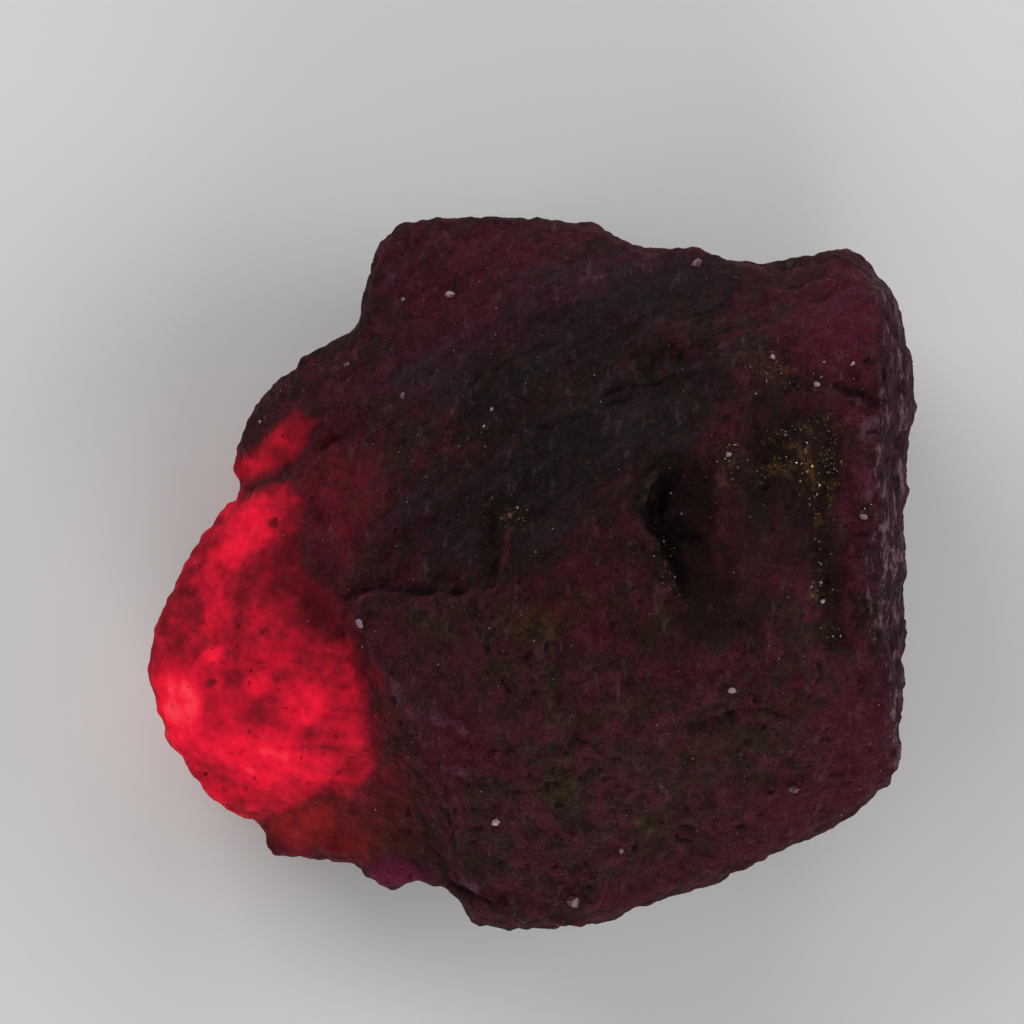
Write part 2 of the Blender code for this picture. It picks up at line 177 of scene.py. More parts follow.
def patch(spots, x, y, long, wide, turn, edge=0.6):
    """1 in the middle of a long patch, 0 outside it; turn in degrees, edge the soft share of its width."""
    turn = math.radians(turn)
    aside = spots - (x, y)
    along = (aside[:, 0] * math.cos(turn) + aside[:, 1] * math.sin(turn)) / long
    across = (aside[:, 1] * math.cos(turn) - aside[:, 0] * math.sin(turn)) / wide
    return 1 - rise(np.hypot(along, across), 1 - edge, 1 + edge * 0.5)


# the walls of the hollow in the lower face take the zone colours and the dust too, its painted shade among
# them
pocket = patch(plan, 9.6, 3.0, 4.2, 7.4, 14) * rise(places[:, 2], 20.0, 22.0)
up = np.maximum(up, pocket)
crest_line = plan[:, 1] - 0.62 * plan[:, 0]
banded = up * rise(crest_line, 1.0, 4.5) * rise(plan[:, 0], -17.0, -12.0)
banded *= 1 - patch(plan, -17, 3, 6, 5, 0)
right_face = rise(normals[:, 0], 0.35, 0.75) * rise(plan[:, 0], 21.6, 23.4)
lobe = up * rise(-10.0 - plan[:, 0] + 0.15 * plan[:, 1], -0.8, 0.8) * rise(4.0 - plan[:, 1], -1.5, 1.5)
vein = up * np.maximum.reduce([
    patch(ragged, 19.2, 7.0, 2.6, 4.2, 0),
    patch(ragged, 20.0, -1.6, 1.2, 5.0, 0),
    patch(ragged, 16.6, 8.5, 1.8, 4.6, 0),
    patch(ragged, 17.6, 13.5, 4.6, 1.4, -8),
])

# Cracks and slots in the upper skin: the path seen from above, the half width and the depth.
CRACKS = {
    "ledge": ([(-12.6, -1.6), (-10.6, -1.0), (-7.5, -1.2), (-4.4, -1.3), (-2.4, -1.1)], 0.26, 0.22),
    "riser": ([(-2.4, -1.1), (-2.1, 1.0), (-2.5, 2.8), (-2.9, 4.9)], 0.40, 0.22),
    "lobe_head": ([(-12.4, -1.8), (-12.7, -3.6), (-12.2, -5.7), (-10.4, -7.4)], 0.35, 0.22),
    "lobe_foot": ([(-9.0, -12.6), (-7.0, -14.4), (-5.6, -16.5), (-5.3, -20.4)], 0.32, 0.14),
    "lobe_foot_2": ([(-9.4, -13.6), (-7.6, -15.4), (-6.6, -17.6)], 0.28, 0.12),
    "arc": ([(10.9, -10.4), (13.0, -9.7), (14.9, -9.2), (16.3, -9.5), (18.0, -9.9)], 0.28, 0.22),
    "hairline": ([(1.2, -4.8), (1.4, -7.2), (1.9, -9.3)], 0.24, 0.16),
    "star": ([(2.5, -10.5), (3.3, -11.2), (4.0, -10.4)], 0.24, 0.22),
    "star_foot": ([(3.3, -11.2), (3.4, -12.0)], 0.24, 0.20),
    "slash": ([(13.3, -17.6), (14.3, -17.1)], 0.24, 0.20),
    "brow_slit": ([(-14.3, 8.5), (-12.9, 9.4)], 0.32, 0.28),
    "long_gash": ([(4.7, 12.2), (8.0, 12.9), (11.4, 13.7)], 0.26, 0.14),
    "short_gash": ([(9.2, 16.8), (11.4, 17.6), (13.0, 18.2)], 0.26, 0.16),
    "low_gash": ([(-4.6, 12.6), (-1.4, 14.6), (1.4, 15.6)], 0.24, 0.12),
    "olive_gash": ([(0.4, 9.8), (3.4, 10.6), (6.8, 12.0)], 0.24, 0.12),
    "horn_notch": ([(20.6, 12.7), (22.2, 12.1), (23.2, 11.6)], 0.50, 0.30),
    "pocket_bed": ([(8.9, 6.6), (8.6, 4.2), (9.3, 1.8), (10.7, -1.6)], 0.35, 0.25),
    "crease": ([(-5.2, -21.2), (-2.9, -22.4)], 0.45, 0.35),
}

parting_axes = axes((0.85, 0.53, 0.0), (-0.50, 0.80, -0.33))
upright_axes = axes((0.0, 0.0, 1.0), (0.0, 1.0, 0.0))
flow_axes = axes((0.97, -0.24, 0.0), (0.24, 0.97, 0.2))
slope_axes = axes((0.62, -0.75, 0.2), (0.75, 0.62, 0.1))

# Crumbs fill the hollow in the lower face up to about half its depth. Its edges, and those of the steps, have
# crumbled: place, half sizes and turn of each patch, and its smoothing passes.
POCKET_BRIM = 28.7
POCKET_FILL = 0.55
CRUMBLED = [(9.3, 3.4, 3.8, 7.4, 14, 12), (-2.6, 1.8, 1.8, 3.6, 0, 90), (-8.6, -10.6, 8.5, 2.0, -68, 70)]
places[:, 2] += POCKET_FILL * np.maximum(0, POCKET_BRIM - places[:, 2]) * pocket
for *where, passes in CRUMBLED:
    share = (patch(plan, *where, 0.5) * rise(places[:, 2], 3.0, 6.0))[:, None]
    places = places * (1 - share) + softened(places, passes) * share

# The relief: each term is a height in millimetres times a noise, where its masks let it show.
broad, middling, small = lumps(3.4, 5), lumps(1.5, 6), lumps(0.75, 7)
height = 0.16 * broad + 0.15 * middling * (1 - 0.55 * banded) + 0.07 * small * (1 - 0.5 * banded)
height += 0.42 * chipped(2.1, 1) * (1 - 0.75 * banded) * (1 - 0.7 * lobe)
height += 0.22 * chipped(1.1, 2) * (1 - 0.7 * banded)
ribs = 0.13 * lumps((9.0, 1.3, 3.0), 8, parting_axes) + 0.09 * lumps((5.0, 0.55, 2.0), 9, parting_axes)
height += ribs * banded
upright = 0.09 * lumps((3.0, 0.9, 1.2), 10, upright_axes) + 0.07 * lumps((1.6, 0.6, 0.8), 11, upright_axes)
height += upright * right_face
height += 0.10 * lumps((4.0, 0.7, 2.0), 12, flow_axes) * lobe * patch(plan, -17.5, -13.5, 7, 3.2, -10)
height += 0.12 * small * steep
height += 0.14 * lumps((3.4, 0.7, 1.4), 13, slope_axes) * patch(plan, -6.0, -9.6, 6, 2.6, -35)
height += 0.30 * chipped(0.95, 3) * vein
height += (0.7 * chipped(1.7, 4) + 0.3 * middling) * pocket
height += 0.35 * chipped(0.8, 6) * patch(plan, -8.0, -2.0, 5.0, 1.4, 0)
height += 0.6 * chipped(1.3, 5) * patch(plan, -8.0, -12.4, 8.0, 1.6, -66) * rise(places[:, 2], 3.0, 6.0)
# pits, and cracks that run deeper in some places than in others
pits = rise(-lumps(0.62, 14), 0.33, 0.62) * rise(lumps(4.5, 15), -0.25, 0.3)
height -= 0.20 * pits * (1 - 0.6 * banded) * (1 - 0.5 * lobe)
broken_off = rise(middling + small, -0.45, 0.35)
# the cracks also get a darker colour along their paths: painted shade and dirt
crack_shade_and_dirt = np.zeros(len(places))
for path, half_width, depth in CRACKS.values():
    strayed = near(path, plan + 0.30 * np.stack([lumps(1.3, 16), lumps(1.3, 17)], 1)) + 0.12 * small
    height -= depth * up * (1 - rise(strayed, 0, half_width)) * (0.35 + 0.65 * broken_off)
    crack_shade_and_dirt = np.maximum(crack_shade_and_dirt, up * (1 - rise(strayed, half_width * 0.1, half_width)) * broken_off)
resting = rise(places[:, 2], 0.0, 0.9)[:, None]
places = places + normals * height[:, None] * resting
places[:, 2] = np.maximum(places[:, 2], 0.0)
skin.vertices.foreach_set("co", (places * MM).ravel())
skin.update()
skin.shade_smooth()

normals = per_vertex(skin.vertex_normals, "vector")
fine_hollow = np.sum((softened(places, 5) - places) * normals, axis=1)
wide_hollow = np.sum((softened(places, 60) - places) * normals, axis=1)

# ---------------------------------------------------------------- where the stone changes colour
# Chromium reddens some grains and iron darkens others, mica and a green mineral grew between them, and the
# thin lobe lets light through. The dark zone also holds painted shade in the hollows and slits, and the pale
# zone painted highlights on rims and slopes. Each zone is a few soft patches seen from above, by place, half
# sizes, turn and strength, kept as one value for each vertex.
ZONES = {
    "slate": [
        (-2.0, 12.4, 4.6, 3.4, 35, 0.75), (2.0, 8.0, 13.6, 5.4, 38, 1.0), (4.7, 17.2, 8.8, 2.6, 30, 0.75),
        (11.5, 19.2, 6.1, 2.4, 15, 0.6),
        (-6.8, 3.6, 5.4, 2.4, 8, 0.25), (9.1, 10.7, 6.1, 3.1, 40, 0.8), (-0.7, 1.9, 4.7, 2.4, 5, 0.6),
    ],
    "crimson": [
        (-4.1, 18.5, 5.4, 5.4, 0, 0.60), (-0.7, 22.3, 5.0, 1.7, 0, 0.50), (-14.2, 3.7, 2.0, 5.4, 10, 0.65),
        (-13.0, 12.0, 4.4, 2.2, 40, 0.50), (-10.2, 2.3, 4.7, 2.0, 10, 0.40),
        (-10.9, -4.5, 2.7, 3.4, 0, 0.50), (-6.8, -12.6, 2.7, 2.7, 0, 0.45),
        (-1.4, -21.5, 4.4, 1.6, 5, 0.50), (5.1, 5.7, 2.4, 1.7, 30, 0.45), (4.0, -0.2, 2.6, 1.5, 5, 0.75),
        (4.2, -4.1, 2.2, 1.7, 0, 0.85), (11.4, -6.6, 2.7, 1.1, 5, 0.55), (11.7, -11.7, 1.9, 0.8, 0, 0.60),
        (-4.5, -10.8, 1.7, 2.6, 0, 0.60), (15.0, 0.4, 2.4, 1.8, -20, 0.55), (19.6, -9.4, 4.4, 2.2, 0, 0.50),
        (22.3, 5.0, 1.1, 6.0, 0, 0.55), (21.0, 16.8, 3.6, 5.2, -8, 0.80), (21.7, -12.6, 2.7, 2.7, 20, 0.55),
        (22.2, 10.9, 1.8, 1.5, 0, 0.85), (-7.8, 20.0, 2.4, 3.4, 0, 0.40), (13.0, -15.5, 3.4, 1.4, 20, 0.40),
        (4.4, -18.9, 2.6, 1.2, 10, 0.35), (-3.0, -12.4, 2.6, 1.4, -20, 0.55),
        (-5.6, -8.8, 4.0, 6.4, 10, 0.40), (22.6, -11.6, 3.0, 4.4, 20, 0.75),
        (17.6, -16.2, 5.0, 2.4, 28, 0.70), (9.0, -20.6, 5.4, 1.8, 14, 0.60),
        (-5.6, -13.6, 2.4, 2.4, 0, 0.40), (-12.2, -1.7, 1.0, 0.7, 0, 0.60),
    ],
    "mauve": [
        (1.7, 17.6, 7.5, 3.4, 35, 1.0), (-6.1, 13.8, 4.4, 2.8, 30, 0.9), (9.5, 20.0, 5.0, 2.2, 18, 0.8),
        (8.4, 9.9, 4.8, 1.8, 35, 0.8), (-9.6, 17.6, 2.0, 3.2, -10, 0.4),
    ],
    "olive": [
        (2.0, -14.7, 1.6, 1.4, 0, 1.0), (2.7, -12.4, 0.8, 1.5, -20, 0.7), (4.0, -10.1, 1.8, 0.9, 20, 0.75),
        (7.4, -8.6, 2.8, 0.9, 20, 0.5), (8.9, -2.9, 1.5, 1.0, 40, 1.0), (15.0, -11.4, 2.6, 1.2, 0, 0.7),
        (15.9, -9.4, 1.7, 0.7, 10, 0.6), (0.0, -3.3, 3.4, 1.8, 10, 0.6), (1.5, -7.9, 0.9, 4.1, 5, 0.7),
        (10.8, -11.8, 4.1, 1.2, 5, 0.45), (-7.1, -3.3, 3.7, 1.7, 5, 0.45), (7.9, -17.1, 1.2, 0.8, 0, 1.0),
        (18.3, -8.9, 2.4, 0.8, 5, 0.4), (-2.1, -6.2, 3.4, 1.4, 5, 0.35),
    ],
    "gilt": [
        (17.0, 7.9, 1.7, 1.7, 20, 1.0), (20.3, 7.0, 0.9, 2.7, 0, 1.0), (18.7, 6.4, 1.2, 1.8, 0, 0.9),
        (18.8, 9.8, 2.4, 0.8, 10, 0.6), (19.8, -1.7, 1.0, 0.9, 0, 1.0), (19.6, 1.2, 0.8, 1.8, 0, 0.6),
        (20.4, -4.2, 0.7, 1.5, 0, 0.5), (17.6, 13.7, 4.3, 1.1, -8, 0.45), (13.4, 7.2, 0.9, 2.0, 0, 0.50),
        (-1.0, 4.0, 1.0, 0.8, 0, 1.0), (-12.3, 14.1, 0.8, 0.8, 0, 0.6), (-3.6, 9.7, 1.5, 0.7, 0, 0.5),
        (-2.7, 4.4, 0.7, 0.7, 0, 0.6), (22.7, 3.8, 0.6, 0.5, 0, 0.6), (19.5, 3.7, 0.9, 1.3, 0, 0.45),
    ],
    # dark brown-black stain, and painted shade in the hollow of the lower face, the notch, the slits and by
    # the riser
    "dark_stain_and_shade": [
        (15.4, 6.5, 2.4, 3.8, 0, 0.60), (8.7, 1.2, 1.1, 2.4, 10, 0.90), (11.2, -2.4, 2.2, 1.8, 0, 0.55),
        (14.2, 0.6, 3.4, 4.6, 0, 0.60), (13.2, -3.0, 3.4, 2.6, 0, 0.60), (16.8, 11.4, 2.4, 2.6, 0, 0.40),
        (5.6, 2.2, 1.8, 1.8, 0, 0.35), (-1.4, 1.3, 2.8, 2.8, 0, 0.50), (11.2, -4.4, 1.8, 1.8, 0, 0.50),
        (17.6, 2.0, 1.3, 4.4, 0, 0.50), (0.2, 4.2, 1.6, 1.0, 0, 0.60), (18.0, 9.5, 2.8, 2.4, 0, 0.70),
        (8.2, 5.0, 1.4, 3.3, 10, 0.9), (9.3, 0.9, 1.1, 3.4, 18, 0.7), (9.6, 6.7, 2.0, 1.4, -20, 0.8),
        (15.8, 5.5, 1.1, 3.1, 0, 0.75), (15.6, 11.9, 1.2, 1.8, 0, 0.7), (18.1, 2.9, 0.9, 3.4, 10, 0.6),
        (20.6, -3.0, 0.9, 3.3, 0, 0.7), (18.6, 10.1, 2.0, 1.2, 0, 0.5), (-2.6, 4.2, 0.8, 1.1, 0, 0.9),
        (-2.5, 1.7, 1.1, 3.4, 0, 0.90), (-13.6, 9.0, 1.1, 0.4, 28, 0.9), (22.0, 12.5, 1.4, 0.35, -25, 0.6),
        (3.2, -11.2, 0.6, 0.9, 10, 0.8), (2.3, -12.0, 0.4, 0.5, 0, 0.7), (4.2, -17.4, 0.9, 0.4, 10, 0.6),
        (16.9, -12.3, 0.7, 0.4, 0, 0.6), (14.1, -17.4, 0.6, 0.3, 30, 0.6), (12.2, 17.2, 1.8, 0.5, 25, 0.6),
        (8.1, 12.7, 3.4, 0.4, 12, 0.5), (18.3, -11.6, 0.6, 0.4, 0, 0.5),
    ],
    # pale streaks, and painted highlights: on the rims at the top and right, along the slope and on the
    # violet crystal
    "pale_streaks_and_highlights": [
        (-9.0, -8.4, 2.2, 0.50, -42, 0.50), (-5.6, -10.2, 3.2, 0.50, -18, 0.50),
        (-7.6, -11.0, 1.8, 0.45, -35, 0.45), (-4.6, -13.4, 2.4, 0.40, -8, 0.40),
        (23.0, 9.6, 0.8, 1.5, -30, 0.60), (22.9, 5.4, 0.35, 2.6, 0, 0.45),
        (-12.0, -6.9, 1.1, 0.30, -30, 0.90), (-5.1, -15.4, 0.4, 3.4, 20, 0.35),
        (22.5, 11.6, 2.0, 0.35, -22, 0.60), (0.2, 24.2, 1.1, 0.3, 0, 0.80),
        (4.0, 20.2, 2.4, 0.40, 35, 0.35), (2.4, 18.6, 2.2, 0.30, 35, 0.20),
        (-4.1, -21.5, 1.2, 0.3, -35, 0.70), (-10.6, -20.7, 0.45, 0.8, 10, 1.0),
        (-3.9, 13.2, 2.6, 0.35, 33, 0.20),
    ],
    "dusty": [
        (-5.6, -8.6, 4.6, 7.0, 10, 0.90), (-3.8, -17.0, 2.6, 4.0, 0, 0.70),
        (5.0, -16.0, 13.0, 6.0, 8, 0.75), (3.0, -8.5, 10.0, 4.0, 0, 0.50), (-6.0, -4.5, 4.0, 2.4, 0, 0.40),
        (16.0, -11.0, 6.0, 3.0, 0, 0.45), (10.5, 21.3, 4.0, 1.2, 0, 0.50),
    ],
    "violet": [
        (-9.4, -20.4, 1.9, 1.3, -5, 1.0), (17.5, 0.0, 1.4, 1.2, 0, 0.12),
        (-9.4, 20.9, 0.8, 2.6, 0, 0.10), (21.2, 17.0, 3.0, 4.6, 0, 0.14),
    ],
    "lilac": [(23.2, 9.4, 0.6, 1.6, -30, 0.5)],
    "rust": [
        (-12.6, -17.6, 6.4, 2.3, -4, 0.8), (-9.5, -10.3, 0.9, 3.0, 0, 0.6), (-8.3, -15.0, 1.6, 3.4, 15, 0.6),
        (0.0, -2.5, 4.1, 2.0, 0, 0.4), (4.7, -1.8, 3.4, 2.0, 0, 0.3),
    ],
}

# Marks with an outline of their own: zone, outline, soft edge and strength. They are dark stain, with painted
# shade in and by the hollow of the lower face, and the lilac strip along the right edge, partly painted
# light.
OUTLINED_MARKS = [
    ("dark_stain_and_shade", [(9.0, 8.4), (7.6, 6.6), (6.5, 4.6), (7.3, 3.2), (8.6, 1.2), (10.6, -2.4), (11.2, -1.6),
              (10.6, 2.3), (10.2, 5.0), (10.3, 7.0), (10.6, 8.2)], 0.40, 1.0),
    ("dark_stain_and_shade", [(9.0, 8.6), (10.6, 8.6), (12.4, 8.0), (12.8, 5.2), (12.6, 1.6), (12.3, -2.0), (10.8, -2.6),
              (8.6, 1.2), (6.8, 4.4)], 0.9, 0.72),
    ("dark_stain_and_shade", [(15.9, 12.1), (20.2, 11.4), (21.4, 7.0), (20.6, 3.6), (21.3, -1.8), (21.7, -5.2),
              (20.0, -5.5), (19.3, -1.8), (18.3, 2.3), (16.2, 5.0), (15.4, 8.4)], 0.9, 0.75),
    ("lilac", [(24.7, 19.8), (24.8, 16.9), (24.4, 14.0), (24.0, 12.5), (23.7, 9.7), (23.4, 6.7),
               (23.4, 3.8), (23.0, 0.9), (23.1, -2.0), (23.8, -4.9), (24.5, -8.5), (24.9, -13.0),
               (27.5, -12.0), (27.5, 20.0)], 0.40, 1.0),
]


def zone(table, spots):
    """The patches of a zone laid over each other."""
    bare = np.ones(len(spots))
    for x, y, long, wide, turn, strength in table:
        bare *= 1 - strength * patch(spots, x, y, long, wide, turn, 0.9)
    return 1 - bare


def keep(name, values):
    """Store one value for each vertex."""
    skin.attributes.new(name, "FLOAT", "POINT").data.foreach_set("value", values.astype(np.float32))


for name, table in ZONES.items():
    amount = zone(table, ragged)
    for marked_zone, outline, edge, strength in OUTLINED_MARKS:
        if marked_zone == name:
            amount = np.maximum(amount, strength * rise(within(outline, ragged), -edge, edge))
    keep(name, amount * up)
keep("open", up)
keep("cracks", crack_shade_and_dirt)
keep("banded", banded)
# the right side face: its pale flakes, and painted light, as if lit from the right, strongest towards its top
high_up = 0.25 + 0.75 * rise(places[:, 2], 12.0, 22.0)
keep("right_face", right_face * high_up * (1 - 0.8 * patch(plan, 24.4, 5.6, 1.6, 3.0, 0)))
# hollow and deep: where the painted shade goes, in the fine hollows and the wide recesses; worn: the sharpest
# ridges
keep("hollow", rise(fine_hollow, 0.01, 0.10))
keep("worn", rise(-fine_hollow, 0.01, 0.09))
keep("deep", rise(wide_hollow, 0.05, 0.7))
clumps = rise(lumps(0.9, 20) + 0.5 * lumps(0.45, 21), 0.05, 0.55)
bed = 0.14 * patch(plan, 9.1, 1.4, 0.8, 3.2, 12)
keep("plates", up * np.maximum(bed, zone(ZONES["gilt"], ragged) * (0.10 + 0.90 * clumps)))

# The painted glow: the stone gives no light of its own, but an emission colour stands in for light from under
# the thin lobe shining through it, most where it is thinnest and clearest. The lit parts are outlines seen
# from above with their soft edge and strength; the embers are brighter or, with a minus, duller patches in
# them.
LIT = {
    "lobe": ([(-20.7, 5.3), (-16.6, 5.9), (-15.2, 4.0), (-15.4, 0.9), (-13.3, -1.8), (-11.9, -4.5),
              (-10.6, -7.2), (-10.2, -9.9), (-10.0, -12.4), (-11.6, -14.0), (-14.3, -15.1), (-18.3, -16.6),
              (-22.4, -16.6), (-25.8, -12.6), (-27.5, -7.2), (-26.8, -1.8), (-23.8, 2.5)], 0.80, 1.0),
    "brow": ([(-21.4, 7.0), (-19.4, 8.4), (-16.7, 9.7), (-15.8, 11.0), (-14.8, 10.4), (-15.5, 8.2),
              (-17.0, 7.2), (-18.2, 6.6), (-19.7, 5.9), (-21.2, 5.8)], 0.50, 0.7),
    "fringe": ([(-18.2, -16.2), (-13.6, -14.8), (-10.4, -12.6), (-9.4, -12.8), (-8.8, -14.0), (-8.4, -15.4),
                (-9.6, -16.6), (-10.4, -18.4), (-11.4, -19.2), (-13.3, -19.4), (-17.0, -19.1)], 1.10, 0.29),
    "dusk": ([(-16.3, 5.4), (-15.6, 7.0), (-13.6, 8.6), (-11.0, 8.2), (-10.4, 5.4), (-12.0, 2.3),
              (-13.0, -0.6), (-14.6, -1.8), (-15.6, 2.0)], 2.6, 0.17),
}
EMBERS = [
    (-17.8, 8.0, 2.3, 1.1, 27, 0.06), (-19.0, 7.2, 1.1, 0.75, 20, 0.16), (-17.6, 5.6, 1.6, 0.9, 20, 0.10),
    (-19.0, 3.3, 2.3, 1.8, 30, 0.26), (-20.5, 1.3, 1.5, 0.95, 20, 0.26), (-18.2, 4.4, 1.5, 0.8, 20, 0.06),
    (-21.6, -1.8, 1.1, 3.0, -5, 0.14), (-21.7, -5.4, 0.7, 0.55, 0, 0.32), (-18.6, -0.6, 1.9, 1.8, 0, -0.12),
    (-22.4, -6.5, 1.9, 1.3, 0, 0.16), (-17.7, -6.2, 1.8, 1.2, 0, 0.12), (-16.0, -4.4, 1.4, 1.0, 0, 0.06),
    (-18.3, -7.6, 1.1, 1.0, 0, 0.34), (-15.5, -8.7, 1.8, 1.6, 0, 0.34), (-12.4, -9.6, 1.6, 3.0, 0, 0.08),
    (-23.9, -8.6, 1.6, 2.5, 12, 0.50), (-21.4, -10.3, 2.6, 2.6, 0, 0.16), (-16.3, -11.3, 2.6, 1.2, 0, 0.14),
    (-17.7, -12.6, 4.6, 1.8, -12, 0.34), (-19.3, -14.7, 4.6, 1.2, -5, 0.16),
    (-23.1, -12.1, 1.2, 1.4, 0, 0.16), (-22.4, -14.7, 1.6, 0.8, -40, -0.08),
    (-22.9, -0.9, 0.55, 0.55, 0, -0.12), (-17.5, 3.4, 0.5, 0.5, 0, -0.40),
    (-21.8, -7.2, 0.5, 0.35, 0, -0.30), (-10.4, -9.4, 1.5, 3.2, -5, -0.20),
    (-15.0, -11.6, 1.9, 0.2, -3, -0.18), (-15.2, 0.2, 2.6, 3.8, 10, -0.26),
    (-13.9, -3.3, 2.3, 1.7, -20, -0.34), (-11.3, -5.6, 1.1, 1.8, 0, -0.34),
    (-10.2, -12.0, 1.0, 1.8, 0, -0.16), (-24.3, -2.5, 1.8, 3.0, -8, -0.06),
    (-15.6, -17.2, 2.8, 1.6, 0, 0.22), (-9.6, -16.4, 2.6, 2.8, 0, -0.20),
]
lit = np.zeros(len(places))
for outline, edge, strength in LIT.values():
    lit = np.maximum(lit, strength * rise(within(outline, ragged), -edge, edge))
warmth = 0.42 + 0.12 * lumps(1.4, 18) + 0.07 * lumps(0.6, 19)
for *where, brightness in EMBERS:
    warmth += brightness * patch(ragged, *where)
keep("lit", lit * rise(places[:, 2], 0.5, 6.0))
keep("warmth", np.clip(warmth, 0.0, 0.98))

# ---------------------------------------------------------------- the stone's finish
# Dull to waxy broken corundum: maroon and dusty mauve grains, with pale dust in the open and painted shade in
# the hollows and cracks, drawn out in streaks along the partings.


def add(tree, kind, inputs=(), **settings):
    """A node with its settings, and its inputs by name or number: a value, or another node's output."""
    made = tree.nodes.new(kind)
    for name, value in settings.items():
        setattr(made, name, value)
    for key, value in dict(inputs).items():
        if isinstance(value, bpy.types.NodeSocket):
            tree.links.new(value, made.inputs[key])
        else:
            made.inputs[key].default_value = value
    return made


def tint(red, green, blue):
    """A colour from its display values."""
    shown = (red, green, blue)
    return (*[((part + 0.055) / 1.055) ** 2.4 if part > 0.04 else part / 12.92 for part in shown], 1.0)


def maths(tree, kind, first, second):
    """The output of one sum on two values."""
    return add(tree, "ShaderNodeMath", {0: first, 1: second}, operation=kind).outputs[0]


def step(tree, value, low, high, out_low=0.0, out_high=1.0):
    """A soft step between two values."""
    made = add(tree, "ShaderNodeMapRange", {0: value, 1: low, 2: high, 3: out_low, 4: out_high},
               interpolation_type="SMOOTHSTEP")
    return made.outputs[0]


def over(tree, under, amount, colour, blend="MIX"):
    """A colour laid over another one."""
    made = add(tree, "ShaderNodeMix", {0: amount, 6: under, 7: colour}, data_type="RGBA", blend_type=blend)
    return made.outputs[2]


def value_of(tree, name):
    """A value kept for each vertex."""
    return add(tree, "ShaderNodeAttribute", attribute_name=name).outputs["Fac"]


def clouds(tree, vector, scale, detail=3.0, roughness=0.6):
    """Soft noise from 0 to 1, scale cells to the millimetre."""
    made = add(tree, "ShaderNodeTexNoise",
               {"Vector": vector, "Scale": scale, "Detail": detail, "Roughness": roughness})
    return made.outputs["Fac"]


def nudged(tree, value, grain, by):
    """A value moved up and down by a grain from 0 to 1."""
    inputs = {0: maths(tree, "SUBTRACT", grain, 0.5), 1: by, 2: value}
    return add(tree, "ShaderNodeMath", inputs, operation="MULTIPLY_ADD").outputs[0]


def frayed(tree, zone_name, grain, fray, soft, share=None):
    """A zone's mask, broken up at its edge by a grain and thinned to a share."""
    mask = step(tree, nudged(tree, value_of(tree, zone_name), grain, fray), 0.5 - soft, 0.5 + soft)
    return mask if share is None else maths(tree, "MULTIPLY", mask, share)


def new_group(name, inputs, outputs):
    """An empty shader node group with named sockets."""
    tree = bpy.data.node_groups.new(name, "ShaderNodeTree")
    for title, kind, start in inputs:
        socket = tree.interface.new_socket(title, in_out="INPUT", socket_type=kind)
        if start is not None:
            socket.default_value = start
    for title, kind in outputs:
        tree.interface.new_socket(title, in_out="OUTPUT", socket_type=kind)
    return tree, tree.nodes.new("NodeGroupInput"), tree.nodes.new("NodeGroupOutput")


# Loose grains that lie scattered over a surface: dark specks or pale dust, by size and share of the cells.
speckle, given, result = new_group(
    "speckle",
    [("Vector", "NodeSocketVector", None), ("Spacing", "NodeSocketFloat", 1.0),
     ("Grain", "NodeSocketFloat", 0.2), ("Share", "NodeSocketFloat", 0.3)],
    [("Mask", "NodeSocketFloat")],
)
per_mm = maths(speckle, "DIVIDE", 1.0, given.outputs["Spacing"])
cells = add(speckle, "ShaderNodeTexVoronoi", {"Vector": given.outputs["Vector"], "Scale": per_mm})
chance = add(speckle, "ShaderNodeSeparateColor", {0: cells.outputs["Color"]})
spread = add(speckle, "ShaderNodeMath", {0: chance.outputs[1], 1: 0.8, 2: 0.5}, operation="MULTIPLY_ADD")
size = maths(speckle, "MULTIPLY", given.outputs["Grain"], spread.outputs[0])
inside = step(speckle, maths(speckle, "DIVIDE", cells.outputs["Distance"], size), 1.0, 0.5)
chosen = maths(speckle, "LESS_THAN", chance.outputs[0], given.outputs["Share"])
speckle.links.new(maths(speckle, "MULTIPLY", inside, chosen), result.inputs["Mask"])


def specks(tree, vector, spacing, grain, share):
    """The mask of scattered grains: spacing and size in millimetres, and the share of cells with one."""
    made = add(tree, "ShaderNodeGroup", node_tree=speckle)
    tree.links.new(vector, made.inputs["Vector"])
    for name, value in {"Spacing": spacing, "Grain": grain, "Share": share}.items():
        made.inputs[name].default_value = value
    return made.outputs["Mask"]


def in_millimetres(tree, turn=(0.0, 0.0, 0.0), squeeze=(1.0, 1.0, 1.0)):
    """The place on the stone in millimetres, turned and then squeezed along its axes."""
    spot = add(tree, "ShaderNodeTexCoord").outputs["Object"]
    angles = [math.radians(angle) for angle in turn]
    turned = add(tree, "ShaderNodeMapping", {"Vector": spot, "Rotation": angles}).outputs[0]
    scale = [factor / MM for factor in squeeze]
    return add(tree, "ShaderNodeVectorMath", {0: turned, 1: scale}, operation="MULTIPLY").outputs[0]


def stirred_by(tree, spot, by, scale, detail, roughness):
    """A place moved about by noise."""
    shift = add(tree, "ShaderNodeTexNoise",
                {"Vector": spot, "Scale": scale, "Detail": detail, "Roughness": roughness}).outputs["Color"]
    inputs = {0: shift, 1: (by, by, by), 2: spot}
    return add(tree, "ShaderNodeVectorMath", inputs, operation="MULTIPLY_ADD").outputs[0]


